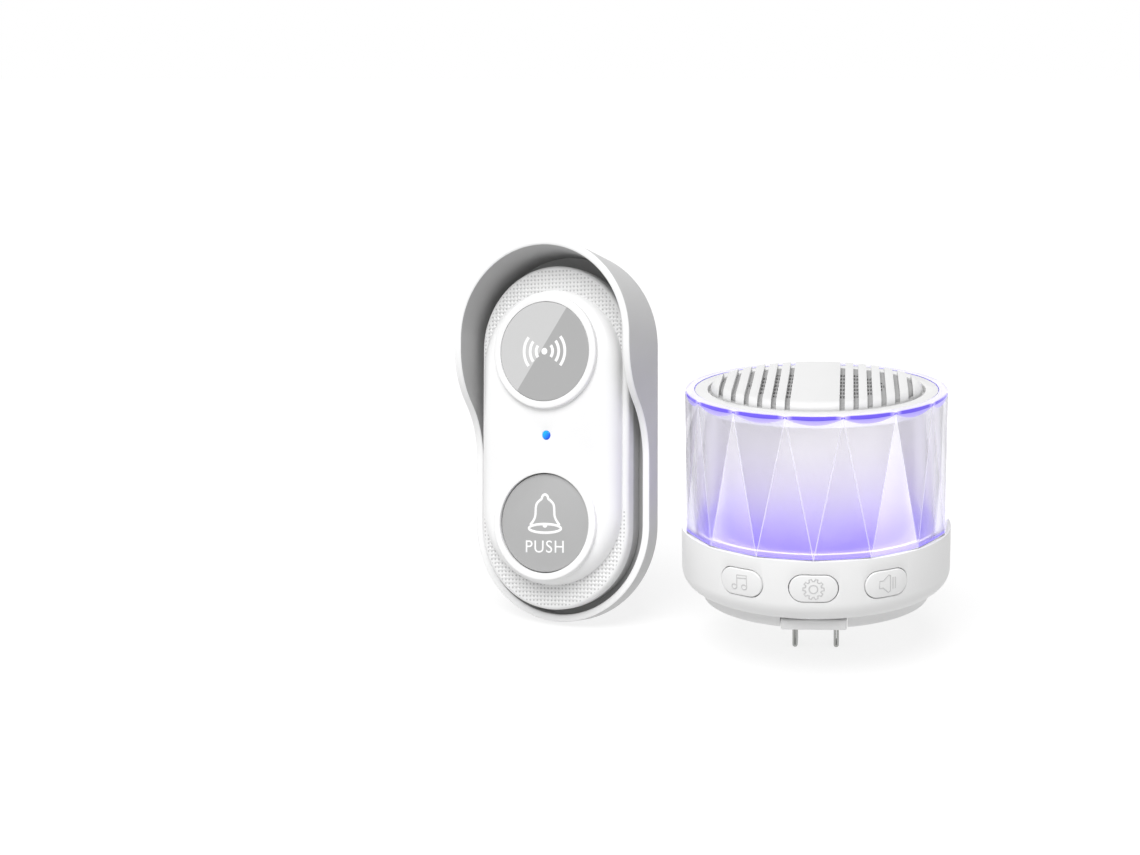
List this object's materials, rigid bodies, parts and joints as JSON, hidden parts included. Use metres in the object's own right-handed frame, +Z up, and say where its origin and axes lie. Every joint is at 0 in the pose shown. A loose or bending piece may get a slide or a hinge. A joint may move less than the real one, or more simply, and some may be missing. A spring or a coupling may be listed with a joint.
{
  "type": "wireless doorbell",
  "caption": "Wireless doorbell set: a hooded wall call unit with a round push button, and a plug-in chime with pill keys, a slotted speaker top and a clear faceted ring lit from below.",
  "frame": {"origin": "middle of the chime's plug face, between the two blades", "axes": "+Z up along the chime's axis, -Y out of its middle key; the call unit stands to the left, turned and leaning back as pictured"},
  "size_m": [0.1569, 0.095, 0.1224],
  "materials": {
    "white_abs": "moulded white ABS, satin to gloss",
    "dotted_abs": "moulded light grey-white ABS with a raised dot texture",
    "base_abs": "moulded white ABS, fine matt spark texture",
    "grey_lens": "grey printed clear-faced lens, glossy",
    "grey_cap": "moulded grey ABS, satin",
    "blue_pipe": "tinted polycarbonate light pipe",
    "foam_tape": "closed-cell foam tape",
    "gasket_rubber": "moulded silicone",
    "screw_steel": "zinc-plated steel",
    "board_green": "glass-epoxy board with green mask",
    "board_white": "glass-epoxy board with white mask",
    "chip_black": "moulded epoxy",
    "switch_grey": "moulded nylon",
    "can_steel": "drawn nickel-plated can",
    "copper": "copper",
    "contact_brass": "stamped brass",
    "blade_nickel": "folded brass, nickel plated",
    "winding_tape": "polyester winding tape",
    "can_sleeve": "shrink sleeve",
    "led_lens": "clear epoxy over a violet emitter",
    "crystal": "clear moulded acrylic with flat polished facets",
    "core_white": "opal diffusing polycarbonate",
    "basket_steel": "pressed steel, black",
    "magnet": "ferrite and plated steel",
    "cone_paper": "pressed paper",
    "surround_rubber": "moulded foam rubber"
  },
  "bodies": {
    "doorbell": {"rain_hood": "white_abs", "body_tape": "foam_tape", "call_rear_shell": "base_abs", "shell_gasket": "gasket_rubber", "shell_screws": "screw_steel", "call_bezel": "dotted_abs", "call_front_cover": "white_abs", "signal_lens": "grey_lens", "light_pipe": "blue_pipe", "call_switch_case": "switch_grey", "call_circuit_board": "board_green", "call_board_screws": "screw_steel", "call_led": "led_lens", "radio_chip": "chip_black", "clock_crystal": "can_steel", "call_antenna": "copper", "cell_holder": "switch_grey", "coin_cell": "can_steel", "cell_clip": "contact_brass", "chime_base": "base_abs", "chime_rear_plate": "base_abs", "rear_plate_screws": "screw_steel", "plug_block": "base_abs", "plug_blades": "blade_nickel", "blade_contacts": "contact_brass", "main_board": "board_green", "main_board_screws": "screw_steel", "power_transformer": "winding_tape", "filter_capacitor": "can_sleeve", "sound_chip": "chip_black", "radio_module": "board_green", "key_switches": "switch_grey", "light_tray": "core_white", "led_ring_board": "board_white", "ring_leds": "led_lens", "crystal_ring": "crystal", "light_core": "core_white", "deck_ring": "base_abs", "speaker_grille": "base_abs", "speaker_baffle": "base_abs", "speaker_basket": "basket_steel", "speaker_magnet": "magnet", "speaker_surround": "surround_rubber"},
    "call_button": {"call_button_cap": "grey_cap", "call_switch_plunger": "switch_grey"},
    "melody_key": {"melody_button": "base_abs", "melody_plunger": "switch_grey"},
    "settings_key": {"settings_button": "base_abs", "settings_plunger": "switch_grey"},
    "volume_key": {"volume_button": "base_abs", "volume_plunger": "switch_grey"},
    "cone": {"speaker_cone": "cone_paper", "dust_cap": "cone_paper", "voice_coil": "copper"}
  },
  "joints": [
    {"name": "call_press", "type": "slide", "parent": "doorbell", "child": "call_button", "axis": [0.3315, 0.9137, -0.235], "range_m": [0, 0.001], "stiffness_N_per_m": 1800},
    {"name": "melody_press", "type": "slide", "parent": "doorbell", "child": "melody_key", "axis": [0.515, 0.8572, 0], "range_m": [0, 0.0008], "stiffness_N_per_m": 2000},
    {"name": "settings_press", "type": "slide", "parent": "doorbell", "child": "settings_key", "axis": [0, 1, 0], "range_m": [0, 0.0008], "stiffness_N_per_m": 2000},
    {"name": "volume_press", "type": "slide", "parent": "doorbell", "child": "volume_key", "axis": [-0.515, 0.8572, 0], "range_m": [0, 0.0008], "stiffness_N_per_m": 2000},
    {"name": "cone_travel", "type": "slide", "parent": "doorbell", "child": "cone", "axis": [0, 0, 1], "range_m": [-0.0005, 0.0005], "stiffness_N_per_m": 1500, "deforming": ["speaker_surround"]}
  ]
}
